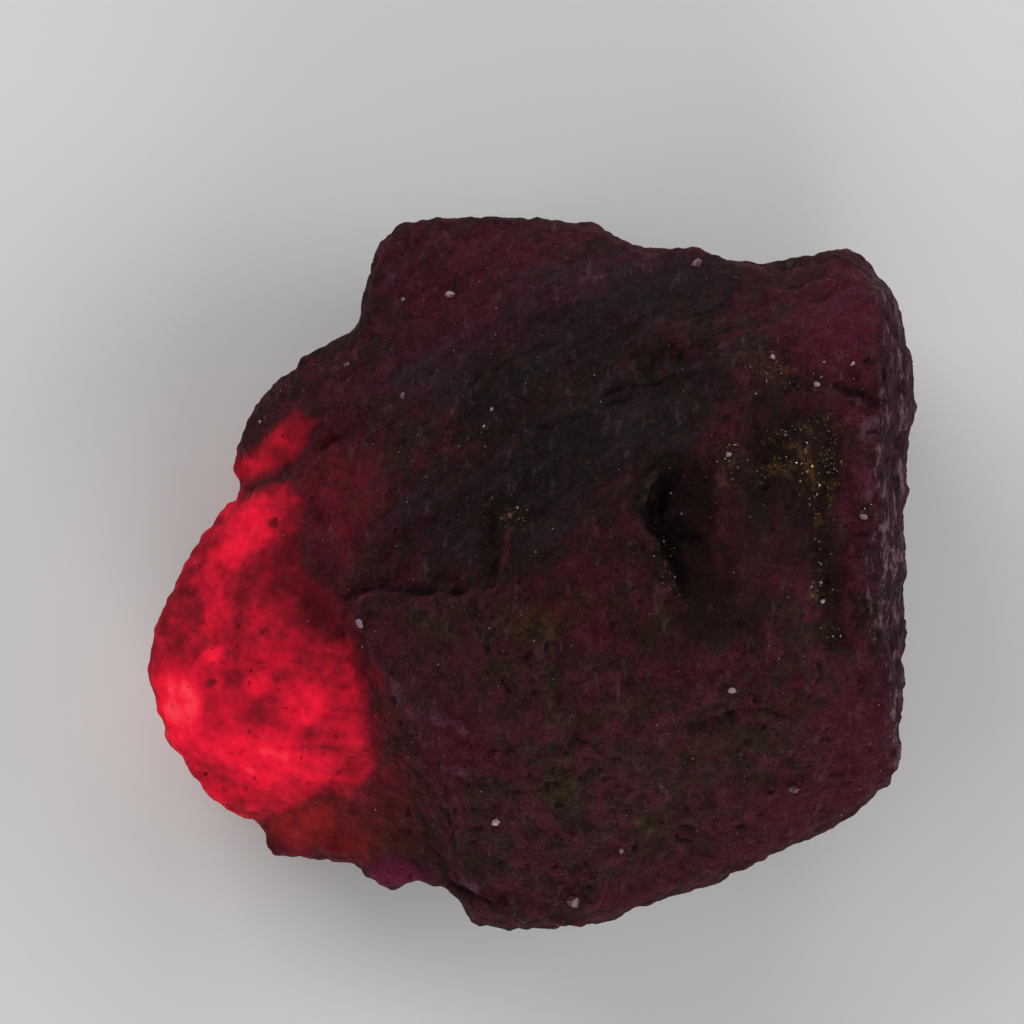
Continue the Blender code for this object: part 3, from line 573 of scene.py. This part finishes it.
ruby = bpy.data.materials.new("rough ruby")
ruby.use_nodes = True
tree = ruby.node_tree
spot = in_millimetres(tree)
stirred = stirred_by(tree, spot, 0.7, 2.2, 2.0, 0.5)
aside = add(tree, "ShaderNodeVectorMath", {0: spot, 1: (41.0, 13.0, 27.0)}, operation="ADD").outputs[0]
torn = stirred_by(tree, spot, 2.4, 1.1, 4.0, 0.7)
streak_spot = in_millimetres(tree, (0, 0, -33), (0.16, 1.0, 0.4))
upright_spot = in_millimetres(tree, (0, 0, 0), (1.3, 0.40, 0.55))
flow_spot = in_millimetres(tree, (0, 0, 12), (0.2, 1.0, 0.5))

cloud = clouds(tree, spot, 0.22, 2.0, 0.60)
drift = clouds(tree, aside, 0.40, 3.0, 0.65)
mottle = clouds(tree, spot, 0.95, 4.0, 0.72)
blotch = clouds(tree, aside, 1.30, 3.0, 0.70)
grain = clouds(tree, spot, 4.5, 2.0, 0.80)
streaks = clouds(tree, streak_spot, 0.9, 4.0, 0.72)
scales = clouds(tree, upright_spot, 1.3, 3.0, 0.7)
flow = clouds(tree, flow_spot, 1.6, 3.0, 0.7)
grains_tone = clouds(tree, torn, 0.60, 0.0)
crumb_tone = clouds(tree, torn, 1.30, 0.0)

# The ground: maroon that drifts to brown and to wine red, dustier in some parts.
colour = over(tree, tint(0.200, 0.068, 0.092), step(tree, cloud, 0.35, 0.65), tint(0.165, 0.085, 0.095))
colour = over(tree, colour, step(tree, drift, 0.50, 0.68, 0.0, 0.70), tint(0.165, 0.090, 0.080))
colour = over(tree, colour, step(tree, drift, 0.50, 0.34, 0.0, 0.75), tint(0.225, 0.062, 0.105))
dusty = over(tree, tint(0.205, 0.120, 0.125), step(tree, drift, 0.45, 0.65), tint(0.210, 0.140, 0.115))
colour = over(tree, colour, frayed(tree, "dusty", blotch, 1.6, 0.5), dusty)
# The grains that show everywhere: pale mauve, dark, rosy and brown ones.
colour = over(tree, colour, step(tree, mottle, 0.52, 0.70, 0.0, 0.65), tint(0.245, 0.140, 0.160))
colour = over(tree, colour, step(tree, mottle, 0.48, 0.32, 0.0, 0.80), tint(0.140, 0.052, 0.062))
colour = over(tree, colour, step(tree, blotch, 0.50, 0.72, 0.0, 0.55), tint(0.290, 0.080, 0.140))
colour = over(tree, colour, step(tree, grains_tone, 0.50, 0.62, 0.0, 0.60), tint(0.275, 0.105, 0.145))
colour = over(tree, colour, step(tree, grains_tone, 0.50, 0.38, 0.0, 0.60), tint(0.160, 0.118, 0.085))
colour = over(tree, colour, step(tree, crumb_tone, 0.51, 0.64, 0.0, 0.50), tint(0.115, 0.060, 0.070))
# The zones, each with its own two shades, broken up at its edge.
rosy = over(tree, tint(0.235, 0.062, 0.098), step(tree, blotch, 0.42, 0.68), tint(0.290, 0.105, 0.160))
colour = over(tree, colour, frayed(tree, "crimson", mottle, 1.6, 0.5), rosy)
mauve = over(tree, tint(0.190, 0.100, 0.140), step(tree, streaks, 0.42, 0.66), tint(0.165, 0.130, 0.145))
colour = over(tree, colour, frayed(tree, "mauve", streaks, 1.6, 0.5, 0.75), mauve)
slate = over(tree, tint(0.084, 0.072, 0.072), step(tree, streaks, 0.45, 0.72), tint(0.135, 0.105, 0.125))
slate = over(tree, slate, step(tree, drift, 0.45, 0.65, 0.0, 0.7), tint(0.100, 0.088, 0.056))
colour = over(tree, colour, frayed(tree, "slate", streaks, 1.3, 0.5, 0.9), slate)
light_streaks = maths(tree, "MULTIPLY", step(tree, streaks, 0.54, 0.74, 0.0, 0.5), value_of(tree, "banded"))
colour = over(tree, colour, light_streaks, tint(0.190, 0.128, 0.162))
dark_streaks = maths(tree, "MULTIPLY", step(tree, streaks, 0.46, 0.28, 0.0, 0.7), value_of(tree, "banded"))
colour = over(tree, colour, dark_streaks, tint(0.100, 0.060, 0.075))
colour = over(tree, colour, frayed(tree, "rust", mottle, 1.4, 0.45), tint(0.255, 0.100, 0.075))
mossy = over(tree, tint(0.150, 0.115, 0.060), step(tree, mottle, 0.45, 0.70), tint(0.235, 0.185, 0.060))
colour = over(tree, colour, frayed(tree, "olive", blotch, 1.6, 0.5, 0.85), mossy)
# The right side face and the lilac strip along its edge: pale lilac flakes, and painted light that makes them
# lighter as a whole, as if lit from the right.
right_face_flakes_and_light = over(tree, tint(0.150, 0.085, 0.110), step(tree, scales, 0.50, 0.67), tint(0.410, 0.315, 0.360))
right_face_flakes_and_light = over(tree, right_face_flakes_and_light, step(tree, mottle, 0.50, 0.36, 0.0, 0.85), tint(0.090, 0.050, 0.065))
sides = frayed(tree, "right_face", blotch, 1.2, 0.6, 0.65)
lilac = frayed(tree, "lilac", scales, 1.6, 0.5, 0.80)
sides = maths(tree, "MAXIMUM", sides, lilac)
colour = over(tree, colour, sides, right_face_flakes_and_light)
# pale streaks and painted highlights
colour = over(tree, colour, frayed(tree, "pale_streaks_and_highlights", blotch, 1.2, 0.4), tint(0.330, 0.205, 0.255))
thick = over(tree, tint(0.066, 0.050, 0.040), step(tree, mottle, 0.48, 0.66), tint(0.130, 0.085, 0.070))
# dark stain, turning near black where the value is highest: painted shade deep in the hollow
dark_stain_and_shade_tone = over(tree, tint(0.108, 0.056, 0.056), step(tree, value_of(tree, "dark_stain_and_shade"), 0.7, 1.0), thick)
colour = over(tree, colour, frayed(tree, "dark_stain_and_shade", mottle, 1.3, 0.5), dark_stain_and_shade_tone)
golden = over(tree, tint(0.105, 0.068, 0.045), step(tree, mottle, 0.50, 0.64), tint(0.270, 0.180, 0.075))
colour = over(tree, colour, frayed(tree, "gilt", mottle, 1.5, 0.4, 0.8), golden)
colour = over(tree, colour, value_of(tree, "violet"), tint(0.400, 0.120, 0.230))
# Paler sharpest ridges, painted shade in the hollows, wide recesses and cracks, then specks of dirt and dust.
# paler on the sharpest ridges
ridge_paling = maths(tree, "MULTIPLY", value_of(tree, "worn"), step(tree, mottle, 0.45, 0.65))
colour = over(tree, colour, maths(tree, "MULTIPLY", ridge_paling, 0.35), tint(0.31, 0.18, 0.22))
# painted shade: darker in the fine hollows and, below, in the wide recesses
hollow = step(tree, value_of(tree, "hollow"), 0.0, 1.0, 0.0, 0.70)
colour = over(tree, colour, hollow, tint(0.085, 0.035, 0.040))
deep = step(tree, value_of(tree, "deep"), 0.0, 1.0, 0.0, 0.55)
colour = over(tree, colour, deep, tint(0.075, 0.055, 0.050))
# painted shade and dirt: the cracks darkened along their paths
cracked = maths(tree, "MULTIPLY", value_of(tree, "cracks"), 0.85)
colour = over(tree, colour, cracked, tint(0.060, 0.035, 0.038))
clusters = step(tree, drift, 0.42, 0.62)
clots = maths(tree, "MULTIPLY", specks(tree, stirred, 1.1, 0.18, 0.30), clusters)
colour = over(tree, colour, clots, tint(0.07, 0.03, 0.04))
pale_dust = maths(tree, "MULTIPLY", specks(tree, stirred, 0.50, 0.07, 0.14), 0.55)
colour = over(tree, colour, pale_dust, tint(0.42, 0.31, 0.34))
pepper = maths(tree, "MULTIPLY", specks(tree, aside, 0.36, 0.08, 0.25), 0.55)
colour = over(tree, colour, pepper, tint(0.06, 0.03, 0.035))
salt = over(tree, tint(0.80, 0.80, 0.80), step(tree, grain, 0.25, 0.75), (1.35, 1.30, 1.30, 1.0))
colour = over(tree, colour, 1.0, salt, "MULTIPLY")

# The painted glow: an emission colour that stands in for light shining up through the lobe, from deep red to
# pink as the stone gets thinner, with dark specks in it.
lit_mask = value_of(tree, "lit")
warm = nudged(tree, nudged(tree, value_of(tree, "warmth"), mottle, 0.50), flow, 0.25)
glow = add(tree, "ShaderNodeValToRGB", {0: warm})
bands = glow.color_ramp
bands.elements[0].position, bands.elements[0].color = 0.0, tint(0.16, 0.02, 0.03)
bands.elements[1].position, bands.elements[1].color = 1.0, tint(0.96, 0.22, 0.28)
for position, shade in ((0.20, tint(0.30, 0.035, 0.07)), (0.40, tint(0.50, 0.05, 0.12)),
                        (0.60, tint(0.73, 0.06, 0.16)), (0.82, tint(0.90, 0.08, 0.19))):
    stop = bands.elements.new(position)
    stop.color = shade
# the lit part of the lobe gets a deep red ground colour under its painted glow
colour = over(tree, colour, maths(tree, "MULTIPLY", lit_mask, 0.9), tint(0.24, 0.025, 0.05))
dots = maths(tree, "MULTIPLY", specks(tree, stirred, 0.85, 0.20, 0.30), 0.7)
dots = maths(tree, "MAXIMUM", dots, maths(tree, "MAXIMUM", clots, pepper))
painted_glow = over(tree, (0.0, 0.0, 0.0, 1.0), lit_mask, glow.outputs[0])
# painted shade: the glow is dimmed in the hollows as well as at the dark specks
shaded = maths(tree, "MAXIMUM", dots, maths(tree, "MULTIPLY", value_of(tree, "hollow"), 0.6))
painted_glow = over(tree, painted_glow, shaded, tint(0.35, 0.10, 0.12), "MULTIPLY")
rusty = maths(tree, "MULTIPLY", value_of(tree, "rust"), 0.8)
painted_glow = over(tree, painted_glow, rusty, (0.75, 2.6, 0.8, 1.0), "MULTIPLY")

# The last fine grain, too small for the mesh.
bump_height = maths(tree, "ADD", maths(tree, "MULTIPLY", mottle, 0.6), maths(tree, "MULTIPLY", grain, 0.4))
bump = add(tree, "ShaderNodeBump", {"Strength": 0.8, "Distance": 0.25 * MM, "Height": bump_height})
shader = tree.nodes["Principled BSDF"]
shader.inputs["Specular IOR Level"].default_value = 0.04
shader.inputs["Emission Strength"].default_value = 1.0
tree.links.new(colour, shader.inputs["Base Color"])
tree.links.new(step(tree, mottle, 0.3, 0.7, 0.90, 0.60), shader.inputs["Roughness"])
tree.links.new(painted_glow, shader.inputs["Emission Color"])
tree.links.new(bump.outputs[0], shader.inputs["Normal"])
skin.materials.clear()
skin.materials.append(ruby)

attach(stone, "root")
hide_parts("ruby_crystal")

# ---------------------------------------------------------------- the mica
# Mica grew in the seams of the stone: thin six-sided plates, black-brown to gold and silver, that lie at all
# tilts in the broken skin and flash where one faces the light.


def scattering(name, shape, shape_inputs, zone_name):
    """A tree that lays copies of a shape over a mesh, thick where a zone's value is high."""
    tree = bpy.data.node_groups.new(name, "GeometryNodeTree")
    kinds = {"Geometry": "Geometry", "Density": "Float", "Small": "Float", "Large": "Float", "Tilt": "Float",
             "Seed": "Int", "Material": "Material"}
    for title, kind in kinds.items():
        tree.interface.new_socket(title, in_out="INPUT", socket_type="NodeSocket" + kind)
    tree.interface.new_socket("Geometry", in_out="OUTPUT", socket_type="NodeSocketGeometry")
    given = tree.nodes.new("NodeGroupInput").outputs
    result = tree.nodes.new("NodeGroupOutput")
    share = add(tree, "GeometryNodeInputNamedAttribute", {"Name": zone_name}, data_type="FLOAT")
    density = maths(tree, "MULTIPLY", share.outputs["Attribute"], given["Density"])
    points = add(tree, "GeometryNodeDistributePointsOnFaces",
                 {"Mesh": given["Geometry"], "Density": density, "Seed": given["Seed"]})
    low = maths(tree, "MULTIPLY", given["Tilt"], -1.0)
    tilt = add(tree, "FunctionNodeRandomValue", {0: low, 1: given["Tilt"], "Seed": given["Seed"]},
               data_type="FLOAT_VECTOR").outputs[0]
    turn = add(tree, "FunctionNodeEulerToRotation", {0: tilt}).outputs[0]
    tilted = add(tree, "FunctionNodeRotateRotation",
                 {"Rotation": points.outputs["Rotation"], "Rotate By": turn},
                 rotation_space="LOCAL").outputs[0]
    width = add(tree, "FunctionNodeRandomValue",
                {2: given["Small"], 3: given["Large"], "Seed": given["Seed"]}, data_type="FLOAT").outputs[1]
    copies = add(tree, "GeometryNodeInstanceOnPoints", {
        "Points": points.outputs["Points"], "Instance": add(tree, shape, shape_inputs).outputs["Mesh"],
        "Rotation": tilted, "Scale": width}).outputs[0]
    tone = add(tree, "FunctionNodeRandomValue", {2: 0.0, 3: 1.0, "Seed": 7}, data_type="FLOAT").outputs[1]
    toned = add(tree, "GeometryNodeStoreNamedAttribute", {"Geometry": copies, "Name": "tone", "Value": tone},
                data_type="FLOAT", domain="INSTANCE").outputs[0]
    solid_copies = add(tree, "GeometryNodeRealizeInstances", {"Geometry": toned}).outputs[0]
    painted = add(tree, "GeometryNodeSetMaterial", {"Geometry": solid_copies, "Material": given["Material"]})
    tree.links.new(painted.outputs[0], result.inputs[0])
    return tree


def scattered(name, tree, settings):
    """The copies that a scattering lays over the stone, as one plain object."""
    made = bpy.data.objects.new(name, skin.copy())
    bpy.context.scene.collection.objects.link(made)
    laid = made.modifiers.new("scattering", "NODES")
    laid.node_group = tree
    for item in tree.interface.items_tree:
        if item.in_out == "INPUT" and item.name in settings:
            laid[item.identifier] = settings[item.name]
    made.update_tag()
    copies = bpy.data.meshes.new_from_object(made.evaluated_get(bpy.context.evaluated_depsgraph_get()))
    made.modifiers.clear()
    made.data = copies
    copies.name = name
    return made


mica = bpy.data.materials.new("mica")
mica.use_nodes = True
tree = mica.node_tree
hue = add(tree, "ShaderNodeValToRGB", {0: value_of(tree, "tone")})
hue.color_ramp.interpolation = "CONSTANT"
hue.color_ramp.elements[0].color = tint(0.14, 0.09, 0.05)
hue.color_ramp.elements[1].position, hue.color_ramp.elements[1].color = 0.55, tint(0.22, 0.15, 0.07)
for position, shade in ((0.80, tint(0.31, 0.24, 0.13)), (0.90, tint(0.44, 0.39, 0.31)),
                        (0.95, tint(0.58, 0.55, 0.54))):
    stop = hue.color_ramp.elements.new(position)
    stop.color = shade
shader = tree.nodes["Principled BSDF"]
shader.inputs["Metallic"].default_value = 0.75
shader.inputs["Roughness"].default_value = 0.28
tree.links.new(hue.outputs[0], shader.inputs["Base Color"])

plates = scattering("scattered plates", "GeometryNodeMeshCylinder",
                    {"Vertices": 6, "Radius": 1.0, "Depth": 0.25}, "plates")
flakes = scattered("mica_flakes", plates, {
    "Density": 80.0 / MM ** 2, "Small": 0.03 * MM, "Large": 0.11 * MM,
    "Tilt": 0.75, "Seed": 4, "Material": mica})
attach(flakes, "root")

# ---------------------------------------------------------------- the grit stuck to the stone
# Crumbs of pale feldspar and pink corundum, broken off the same rock, cling to the skin: a fine scatter all
# over and a few larger grains. The palest small grains, on the mica and in the hollow, are painted
# highlights.
grit = bpy.data.materials.new("grit")
grit.use_nodes = True
tree = grit.node_tree
hue = add(tree, "ShaderNodeValToRGB", {0: value_of(tree, "tone")})
hue.color_ramp.elements[0].color = tint(0.28, 0.11, 0.16)
hue.color_ramp.elements[1].color = tint(0.58, 0.50, 0.52)
stop = hue.color_ramp.elements.new(0.45)
stop.color = tint(0.38, 0.24, 0.28)
shader = tree.nodes["Principled BSDF"]
shader.inputs["Roughness"].default_value = 0.35
tree.links.new(hue.outputs[0], shader.inputs["Base Color"])

crumbs = scattering("scattered crumbs", "GeometryNodeMeshIcoSphere",
                    {"Radius": 1.0, "Subdivisions": 1}, "open")
dust = scattered("stuck_dust", crumbs, {
    "Density": 0.16 / MM ** 2, "Small": 0.02 * MM, "Large": 0.065 * MM,
    "Tilt": 3.0, "Seed": 9, "Material": grit})
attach(dust, "root")

GRAINS = [
    # place seen from above, radius, stretch and tone: 0 is pink, 1 almost white
    (-2.3, -16.8, 0.30, 1.1, 0.9), (-11.8, -3.3, 0.26, 1.6, 0.70), (-5.5, 19.0, 0.26, 1.5, 0.75),
    (-8.6, 18.7, 0.18, 1.2, 0.6), (-8.6, 11.9, 0.20, 1.3, 0.55), (-2.6, 11.2, 0.16, 1.2, 0.8),
    (-18.3, 10.2, 0.14, 1.2, 0.7), (13.7, -8.0, 0.22, 1.5, 0.85), (6.1, -18.9, 0.16, 1.2, 0.7),
    (21.8, 14.1, 0.13, 1.8, 0.80), (22.7, 3.8, 0.19, 1.7, 0.60), (-12.3, 14.1, 0.16, 1.3, 0.6),
    (11.3, 20.9, 0.36, 1.3, 0.20), (2.9, -22.1, 0.40, 1.3, 0.15), (17.9, -14.5, 0.34, 1.2, 0.15),
    (16.5, 14.6, 0.17, 1.3, 0.8), (19.4, 12.7, 0.18, 1.3, 0.8), (13.4, 8.0, 0.18, 1.2, 0.75),
    # the palest grains from here on, on the mica and in the hollow, stand where glints shine: painted
    # highlights
    (19.7, -1.8, 0.15, 1.5, 0.95), (-1.2, 3.9, 0.22, 1.2, 0.30), (19.6, -0.5, 0.10, 1.2, 0.9),
    (9.5, 5.4, 0.09, 1.2, 0.9), (10.2, 4.1, 0.08, 1.2, 0.8), (9.0, 2.2, 0.08, 1.4, 0.8),
    (9.5, -0.4, 0.07, 1.2, 0.8),
]
FLOOR_CLEAR = 3.0  # no grain sits lower than this
bm = bmesh.new()
tone_layer = bm.verts.layers.float.new("tone")
for number, (x, y, radius, stretch, tone) in enumerate(GRAINS):
    off_by = np.hypot(plan[:, 0] - x, plan[:, 1] - y)
    spot_index = int(np.argmin(np.where(places[:, 2] > FLOOR_CLEAR, off_by - 0.02 * places[:, 2], 99.0)))
    made = bmesh.ops.create_icosphere(bm, subdivisions=1, radius=1.0)["verts"]
    for corner in made:
        corner[tone_layer] = tone
        shift = noise.noise_vector(corner.co * 2.0 + noise.noise_vector((number * 3.7, 1.0, 2.0)) * 9.0)
        corner.co = (corner.co + 0.35 * shift) * radius
        corner.co.x *= stretch
        corner.co.rotate(noise.noise_vector((number * 1.9, 4.0, 2.0)).to_track_quat("X", "Z"))
        corner.co.xyz = [(a + b + 0.25 * radius * n) * MM for a, b, n in
                         zip(corner.co, places[spot_index], normals[spot_index])]
grain_mesh = bpy.data.meshes.new("grit_and_glint_grains")
bm.to_mesh(grain_mesh)
bm.free()
grain_mesh.materials.append(grit)
grains = bpy.data.objects.new("grit_and_glint_grains", grain_mesh)
bpy.context.scene.collection.objects.link(grains)
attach(grains, "root")

# ---------------------------------------------------------------- the floor and the light
# A plain pale floor under an even grey sky, and five wide soft lights that stand low round the stone, so that
# its top stays dim while its steps and edges catch the light.
FLOOR_SIZE = 3.0  # metres
SKY, SKY_STRENGTH = (0.62, 0.62, 0.63, 1.0), 0.42
floor_mesh = bpy.data.meshes.new("floor")
half = FLOOR_SIZE / 2
corners = [(-half, -half, 0), (half, -half, 0), (half, half, 0), (-half, half, 0)]
floor_mesh.from_pydata(corners, [], [(0, 1, 2, 3)])
floor = bpy.data.objects.new("floor", floor_mesh)
bpy.context.scene.collection.objects.link(floor)
pale = bpy.data.materials.new("pale floor")
pale.use_nodes = True
pale.node_tree.nodes["Principled BSDF"].inputs["Base Color"].default_value = (0.72, 0.72, 0.71, 1.0)
pale.node_tree.nodes["Principled BSDF"].inputs["Roughness"].default_value = 0.8
floor_mesh.materials.append(pale)

LIGHTS = {
    # place and width in metres, power in watts
    "back_left": ((-0.55, 0.75, 0.60), 0.7, 4.7),
    "back": ((0.25, 1.00, 0.24), 0.6, 4.0),
    "right": ((1.00, 0.10, 0.26), 0.7, 7.5),
    "front": ((0.2, -1.00, 0.26), 0.7, 7.0),
    "left": ((-1.00, -0.25, 0.40), 0.6, 2.4),
}
for name, (place, width, power) in LIGHTS.items():
    lamp = bpy.data.lights.new(name, "AREA")
    lamp.size = width
    lamp.energy = power
    lamp_object = bpy.data.objects.new(name, lamp)
    lamp_object.location = place
    away = -np.array(place)
    lamp_object.rotation_euler = (
        math.atan2(math.hypot(away[0], away[1]), -away[2]), 0.0, math.atan2(-away[0], away[1]))
    lamp_object.visible_camera = False
    bpy.context.scene.collection.objects.link(lamp_object)

world = bpy.data.worlds.new("studio")
bpy.context.scene.world = world
world.use_nodes = True
world.node_tree.nodes["Background"].inputs["Color"].default_value = SKY
world.node_tree.nodes["Background"].inputs["Strength"].default_value = SKY_STRENGTH
